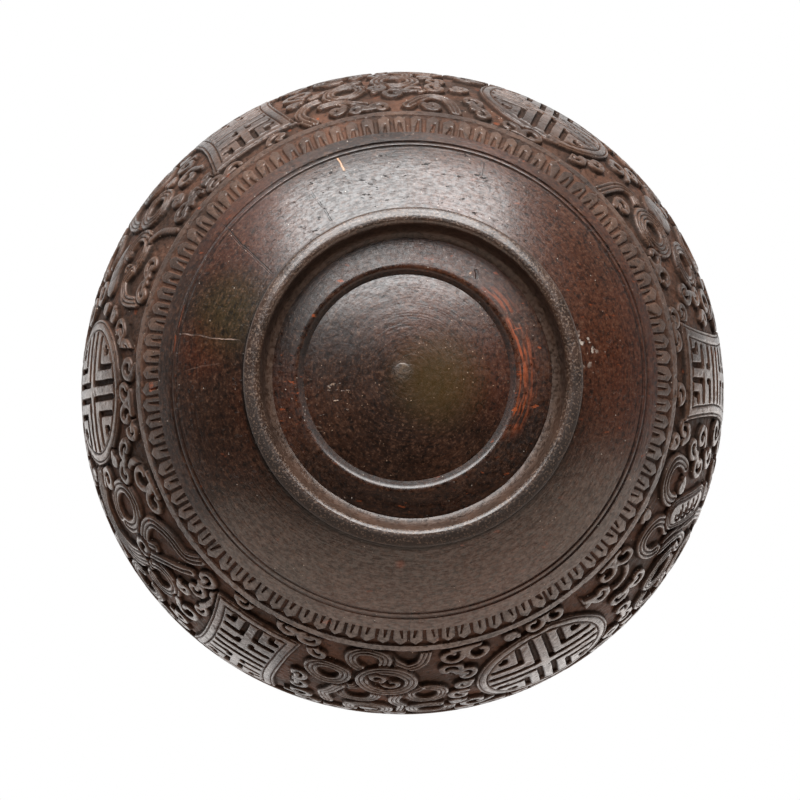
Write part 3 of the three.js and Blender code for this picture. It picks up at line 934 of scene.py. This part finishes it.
FILLET_RIDGE = 1.65
round_bowl = np.arange(frieze_columns) / frieze_columns * 2 * math.pi
drift = wander(round_bowl, (3, 0.12, 1.0), (7, 0.08, 2.2), (17, 0.05, 0.4), (41, 0.03, 5.0))
below = -up[:, None] - (FILLET - FILLET_RIDGE) + drift
above = up[:, None] - frieze_tall - 0.3
for inside in (below, above):
    ridge = eased(inside, -0.16, 0.2)
    relief = relief * (1 - eased(inside, -0.5, -0.2)) + FRIEZE_DEPTH * ridge
relief = relief - 0.1 * eased(uneven(0.5), 0.5, 1.1) * eased(relief, 0.3, 0.6)
relief = softened(np.clip(relief, 0, FRIEZE_DEPTH), 0.06)
# How hollow each place is, raised on steep walls: the finish paints shade where it is high and lightens
# rubbed edges where it is low.
hollow = (softened(relief, 0.3) * 0.7 + softened(relief, 0.9) * 0.3 - relief) / FRIEZE_DEPTH
steep = np.hypot(*np.gradient(relief, cell_up, cell_round))
hollow = hollow + 0.34 * eased(steep, 1.0, 3.5)
ground = 1 - eased(relief, 0.05, 0.4)
frieze_depths = FRIEZE_DEPTH - relief - 0.1 * uneven(0.35) * ground
frieze_depths = np.maximum(frieze_depths - 0.04 * uneven(1.2) - 0.02 * uneven(0.3), 0)


def frieze_piece(name, start, end):
    """One stretch of the frieze, between two azimuths."""
    first, last = (round(azimuth / 360 * frieze_columns) for azimuth in (start, end))
    columns = np.arange(first, last + 1)
    pick = columns % frieze_columns
    piece = carved_sheet(name, np.degrees(frieze_polar), columns * 2 * math.pi / frieze_columns,
                         frieze_depths[:, pick], False,
                         relief=relief[:, pick] / FRIEZE_DEPTH, hollow=hollow[:, pick])
    piece.data.materials.append(carved_finish)
    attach(piece, "root")


PANEL_HALF, MEDALLION_HALF = 10.5, 14.5
framed = sorted([(azimuth, PANEL_HALF, "panel") for azimuth in PANELS]
                + [(azimuth, MEDALLION_HALF, "medallion") for azimuth in MEDALLIONS])
ends = framed[1:] + [(framed[0][0] + 360, *framed[0][1:])]
for number, (here, following) in enumerate(zip(framed, ends)):
    azimuth, half, kind = here
    frieze_piece(f"{kind}_{number // 2 + 1}", azimuth - half, azimuth + half)
    frieze_piece(f"emblem_{number + 1}", azimuth + half, following[0] - following[1])

# The foot: a ring turned from a thicker piece of shell, its top hollowed to the bowl's curve and glued on.
# Its standing face is worn and pitted, and its inner wall runs in to the bowl in a cove.
FOOT_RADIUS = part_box("foot_ring")[1].x / MM
FOOT_FACE = 3.1
FOOT_WAIST = 0.3
FOOT_SLOPE = 2.4
GLUE_LINE = 0.3


def foot_outline():
    seat = SHELL_RADIUS + 0.04
    waist, inner = FOOT_RADIUS - FOOT_WAIST, FOOT_RADIUS - FOOT_FACE
    top = inner - FOOT_SLOPE
    waist_up, top_up = (SHELL_CENTRE - math.sqrt(seat**2 - out**2) for out in (waist, top))
    crest, bead, nose = inner + 0.75, 1.25, 0.9
    outline = [(crest, 0)] + curve((crest + 0.65, 0.05), (FOOT_RADIUS - 0.3, 0.5), (FOOT_RADIUS, bead), 18)
    outline += curve((FOOT_RADIUS, bead + 0.1), (FOOT_RADIUS + 0.1, waist_up / 2), (waist, waist_up), 10)
    outline += curve((top, top_up - 0.05), (top + 0.7, top_up - 0.3), (top + 1.3, top_up - 1.1), 10)
    outline += curve((top + 1.3, top_up - 1.1), (inner - 0.5, top_up / 2), (inner - 0.1, nose), 10)[1:]
    return outline + curve((inner - 0.1, nose), (inner + 0.15, 0.25), (crest, 0), 10)[1:-1]


def roughened(piece, size, deep):
    """Gives a piece a worn surface, with hollows of this size and depth in mm."""
    texture = bpy.data.textures.new(f"{piece.name}_wear", "CLOUDS")
    texture.noise_scale = size * MM
    texture.noise_depth = 2
    wear = piece.modifiers.new("wear", "DISPLACE")
    wear.texture = texture
    wear.texture_coords = "LOCAL"
    wear.strength = -deep * MM
    bpy.ops.object.select_all(action="DESELECT")
    piece.select_set(True)
    bpy.context.view_layer.objects.active = piece
    bpy.ops.object.modifier_apply(modifier=wear.name)


def set_aside(piece, whole, inner, low, high):
    """Moves a piece off the axis, and what is nearer to the axis than low somewhat more; all in mm."""
    places = points_of(piece)
    inwards = 1 - eased(np.hypot(places[:, 0], places[:, 1]) / MM, low, high)
    move_points(piece, places + (np.array([*whole, 0]) + inwards[:, None] * np.array([*inner, 0])) * MM)


foot = turned("foot_ring", foot_outline(), 600)
set_aside(foot, FOOT_ASIDE, (-0.1, 0.2), FOOT_RADIUS - FOOT_FACE - 3, FOOT_RADIUS - FOOT_FACE)
roughened(foot, 0.5, 0.035)
roughened(foot, 4.0, 0.12)


def worn_foot():
    """Worn shell: a rubbed gloss, with grains like fine salt where it has stood on tables, and painted shade
    on the outer face and inner wall where they turn from the top light.
    """
    nut = Finish("worn_foot", IOR=SHELL_GLOSS, Coat_IOR=1.5, Coat_Roughness=0.24)
    nut.colour = nut.mixed(nut.patches(0.3, 0.7, 2.4, 4), (34, 22, 15), (60, 42, 32))
    standing = nut.part(2).band(1.8 * MM, 0.5 * MM)
    grains = nut.patches(0.5, 0.64, 0.22, 3, rough=0.7)
    nut.lay((136, 114, 98), grains * (standing * 0.4 + 0.06))
    pits = nut.cells(0.55, nut.vector("ADD", nut.spot, (0.01, 0.02, 0.03))).band(0.28, 0.1)
    pits = pits * nut.patches(0.42, 0.58, 1.4)
    nut.lay(PIT_DARK, pits * 0.6)
    out = nut.from_axis(FOOT_ASIDE)
    # The outer face on the side towards the picture's foot: rougher, and painted darker as shade, as it
    # turns from the top light.
    dull = out.band(29.6, 30.0) * nut.part(1).band(-8 * MM, 12 * MM)
    nut.lay((28, 18, 12), dull * (1 - grains * 0.8) * 0.8)
    # Painted shade on the inner wall on the top light's side of the ring, where the wall faces away from the
    # light.
    wall = out.band(28.9, 28.5) * out.band(27.3, 27.7)
    nut.lay((24, 15, 10), wall * nut.part(1).band(10 * MM, -5 * MM) * 0.7)
    cove = out.band(29.0, 27.0) * nut.patches(0.35, 0.6, 0.4, 3)
    nut.lay((124, 104, 92), cove * 0.25)
    nut.drive("Base Color", nut.colour)
    marks = nut.lathe_marks(0.22, 8)
    nut.drive("Roughness", 0.22 + marks * 0.14 + nut.grain(1.5, 3) * 0.12 + grains * 0.1 + dull * 0.4)
    lacquer = (marks * 0.4 + nut.grain(0.4, 4, rough=0.75) * 0.6).band(0.38, 0.6)
    nut.drive("Coat Weight", lacquer * standing * (1 - dull) * 0.7)
    height = marks * 0.4 + nut.grain(0.4, 3) * (0.4 + standing * 0.4) - pits * 0.5
    height = height + grains * standing * 0.1
    nut.drive("Normal", nut.bump(height, 0.11))
    return nut.material


foot.data.materials.append(worn_foot())
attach(foot, "root")
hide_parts("foot_ring")

# The plug: a tapered disc of shell that closes the eye end of the nut, glued in from below.
# Its face is turned to a low dome, with the lathe centre's nub left in the middle.
PLUG_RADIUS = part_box("base_plug")[1].x / MM
PLUG_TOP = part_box("base_plug")[1].z / MM
PLUG_TAPER = 0.9
PLUG_CROWN = 2.5
CROWN_FLAT = 10.3
NUB_RADIUS = 1.6
NUB_HEIGHT = 0.09
NUB_ASIDE = (-0.9, -1.0)


def plug_outline():
    floor = LEDGE_HEIGHT + STEP_DEPTH
    crown = floor - PLUG_CROWN
    nub = curve((0, crown - NUB_HEIGHT), (NUB_RADIUS, crown - NUB_HEIGHT), (NUB_RADIUS, crown), 9)
    face = curve((NUB_RADIUS, crown), (CROWN_FLAT, crown), (PLUG_HOLE + 0.1, floor + 0.1), 60)[1:]
    return nub + face + [(PLUG_RADIUS - PLUG_TAPER, PLUG_TOP), (0, PLUG_TOP)]


plug = turned("base_plug", plug_outline(), 360)
set_aside(plug, PLUG_ASIDE, NUB_ASIDE, 0, 15)
roughened(plug, 5.0, 0.08)


def rubbed_plug():
    """Shell turned to a dome and long rubbed, with rings from the lathe and a dull nub."""
    nut = Finish("rubbed_plug", IOR=SHELL_GLOSS, Coat_IOR=1.5, Coat_Roughness=0.2)
    nut_brown(nut)
    tint = nut.vector("DISTANCE", nut.spot, (0.005, 0.001, 0.002), "Value").band(0.012, 0.002)
    nut.lay((66, 50, 20), tint * 0.55)
    flecks = nut.cells(1.2).band(0.12, 0.05) * nut.patches(0.49, 0.58, 3)
    long_spot = nut.vector("MULTIPLY", nut.spot, (0.8, 2.4, 1.0))
    torn = nut.patches(0.64, 0.7, 0.8, 3, long_spot) * nut.zone(161, 15, 7)
    nut.lay((186, 158, 134), flecks * 0.5 + torn * 0.6)
    nub_at = (Vector((*PLUG_ASIDE, 0)) + Vector((*NUB_ASIDE, 0)) + Vector((0, 0, 1.2))) * MM
    away = nut.vector("DISTANCE", nut.spot, nub_at, "Value") + (nut.grain(1.0) - 0.5) * (2 * MM)
    nub = away.band(2.6 * MM, 1.0 * MM)
    nut.lay((104, 84, 62), nub * nut.patches(0.5, 0.66, 0.5, 3) * 0.35)
    nut.drive("Base Color", nut.colour)
    marks = nut.lathe_marks(0.3, 12)
    arcs = nut.lathe_marks(1.6, 9)
    fine = nut.grain(0.5, 4, rough=0.65)
    rough = 0.07 + marks * 0.1 + arcs * 0.08 + nut.grain(4, 4) * 0.12 + fine * 0.24
    nut.drive("Roughness", rough + nub * 0.2)
    nut.drive("Coat Weight", nut.lacquer() * 0.7)
    height = marks * 0.18 + arcs * 0.3 + fine * (0.5 + nub * 0.6) + torn * 0.5
    nut.drive("Normal", nut.bump(height, 0.16))
    return nut.material


plug.data.materials.append(rubbed_plug())
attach(plug, "root")
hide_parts("base_plug")

# The liner: thin tin, spun to the inside of the bowl and turned over the rim into its rebate.
# Spinning has left fine rings, and the tin has gone dull in patches.
LINER_WALL = 0.8
LIP_DROP = 2.4


def liner_outline():
    back_depth = SHELL_WALL + GLUE_LINE
    front_depth = back_depth + LINER_WALL
    under = PLUG_TOP + GLUE_LINE
    lip_under = RIM_HEIGHT + GLUE_LINE
    lip_top = lip_under + LINER_WALL
    lip_foot = RIM_HEIGHT - LIP_DROP
    back = climb(under, lip_under, 40, back_depth)
    skirt = climb(lip_under, lip_foot, 5, LINER_WALL) + climb(lip_foot, lip_under, 5)
    front = climb(lip_under, under + LINER_WALL, 90, front_depth)
    outer, inner = skirt.pop(), front.pop(0)
    roll = curve(outer, (outer[0], lip_top), (outer[0] - LINER_WALL, lip_top), 8)
    roll += curve((inner[0] + LINER_WALL, lip_top), (inner[0], lip_top), inner, 8)
    return [(0, under)] + back + skirt + roll + front + [(0, under + LINER_WALL)]


liner = turned("liner", liner_outline(), 240)


def spun_tin():
    """Tin spun over a form: fine rings, dents and a dull bloom."""
    tin = Finish("spun_tin", Metallic=1.0)
    bloom = tin.patches(0.35, 0.7, 14, 5)
    tin.colour = tin.mixed(bloom, (186, 184, 178), (138, 134, 126))
    tin.lay((92, 86, 78), tin.patches(0.64, 0.74, 2.5, 4) * 0.5)
    tin.drive("Base Color", tin.colour)
    rings = tin.lathe_marks(0.5, 40)
    tin.drive("Roughness", 0.3 + bloom * 0.16 + rings * 0.12)
    tin.drive("Normal", tin.bump(rings * 0.5 + tin.grain(9, 2) * 2, 0.12))
    return tin.material


liner.data.materials.append(spun_tin())
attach(liner, "root")
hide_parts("liner")

# The floor that the bowl stands on: plain and pale, and clear from below, where the foot is looked at.
bpy.ops.object.select_all(action="DESELECT")
bpy.ops.mesh.primitive_plane_add(size=6)
floor = bpy.context.object
floor.name = "floor"


def floor_finish():
    finish = Finish("pale_floor", Base_Color=(0.8, 0.8, 0.79, 1), Roughness=0.7)
    seen = finish.node("LightPath", output="Is Camera Ray")
    behind = finish.node("NewGeometry", output="Backfacing")
    clear = finish.node("BsdfTransparent")
    shown = seen * (1 - behind)
    shader = Tone(finish, finish.shader.outputs[0])
    mixed = finish.node("MixShader", {}, {0: shown, 1: clear, 2: shader})
    out = finish.tree.nodes["Material Output"]
    finish.tree.links.new(mixed.socket, out.inputs[0])
    return finish.material


floor.data.materials.append(floor_finish())

# The light: a soft box under the bowl at the top of the picture, a wide and warm one far off past the
# picture's foot, and a weaker one above the bowl on each side.
middle = Vector((0, 0, SHELL_CENTRE * MM))


def soft_box(name, towards, far, wide, tall, watts, colour=(1, 1, 1)):
    """A soft light this far from the bowl's middle, in a direction from there."""
    place = middle + Vector(towards).normalized() * far
    turn = (middle - place).to_track_quat("-Z", "Y").to_euler()
    bpy.ops.object.light_add(type="AREA", location=place, rotation=turn)
    lamp = bpy.context.object
    lamp.name = name
    lamp.data.shape = "RECTANGLE"
    lamp.data.size = wide
    lamp.data.size_y = tall
    lamp.data.energy = watts
    lamp.data.color = colour


WARM, SOFT_WARM = (1.0, 0.78, 0.64), (1.0, 0.91, 0.85)
soft_box("top_box", (-0.05, -0.82, -0.57), far=0.6, wide=0.75, tall=0.62, watts=13.5)
soft_box("bottom_box", (0.14, 1.0, -0.12), far=3.15, wide=13.5, tall=3.6, watts=206, colour=WARM)
soft_box("left_box", (-0.68, 0.36, 0.64), far=0.9, wide=0.9, tall=0.9, watts=2.2, colour=SOFT_WARM)
soft_box("right_box", (0.66, 0.42, 0.62), far=0.9, wide=0.9, tall=0.9, watts=3.0, colour=SOFT_WARM)

# The room: white to the camera, dim below the bowl, and brighter the higher it is mirrored
ROOM_BELOW, ROOM_ABOVE = 0.015, 0.45
world = bpy.context.scene.world or bpy.data.worlds.new("studio")
bpy.context.scene.world = world
world.use_nodes = True
room = Nodes(world.node_tree)
rise = room.node("SeparateXYZ", {}, {0: room.node("TexCoord", output="Generated")}, 2)
above = rise.band(-0.1, 0.25)
seen, glossy, through_glass = (room.node("LightPath", output=f"Is {kind} Ray")
                               for kind in ("Camera", "Glossy", "Transmission"))
mirrored = (glossy + through_glass) * above * (0.2 + rise.band(0.3, 1.0) * 0.7)
plain = ROOM_BELOW + above * (ROOM_ABOVE - ROOM_BELOW)
level = plain.sum("MAXIMUM", plain.sum("MAXIMUM", seen, mirrored), plain)
background = world.node_tree.nodes["Background"]
background.inputs["Color"].default_value = (1, 1, 1, 1)
world.node_tree.links.new(level.socket, background.inputs["Strength"])

# The camera: below the bowl, looking up at its foot, which leans a little towards the upper right.
CAMERA_FAR = 780
TILT = math.radians(3.42)
LEAN = Vector((1.45, -3.1)).normalized()
FOCAL_PIXELS, IMAGE_PIXELS = 3843, 800
SENSOR = 36
BOWL_PIXEL = (402.5, 393.1)
axis = Vector((LEAN.x * math.sin(TILT), LEAN.y * math.sin(TILT), math.cos(TILT)))
east = (Vector((1, 0, 0)) - axis * axis.x).normalized()
south = axis.cross(east)
right, down, back = (Vector((east[k], south[k], -axis[k])) for k in range(3))
shot = Matrix((right, -down, back)).transposed()
half = IMAGE_PIXELS / 2
aside = right * (BOWL_PIXEL[0] - half) + down * (BOWL_PIXEL[1] - half)
place = middle + (back * CAMERA_FAR - aside * (CAMERA_FAR / FOCAL_PIXELS)) * MM
bpy.ops.object.camera_add(location=place, rotation=shot.to_euler())
camera = bpy.context.object
camera.data.sensor_width = SENSOR
camera.data.lens = SENSOR * FOCAL_PIXELS / IMAGE_PIXELS
camera.data.clip_start = 0.01
bpy.context.scene.camera = camera
bpy.context.scene.view_settings.view_transform = "Standard"
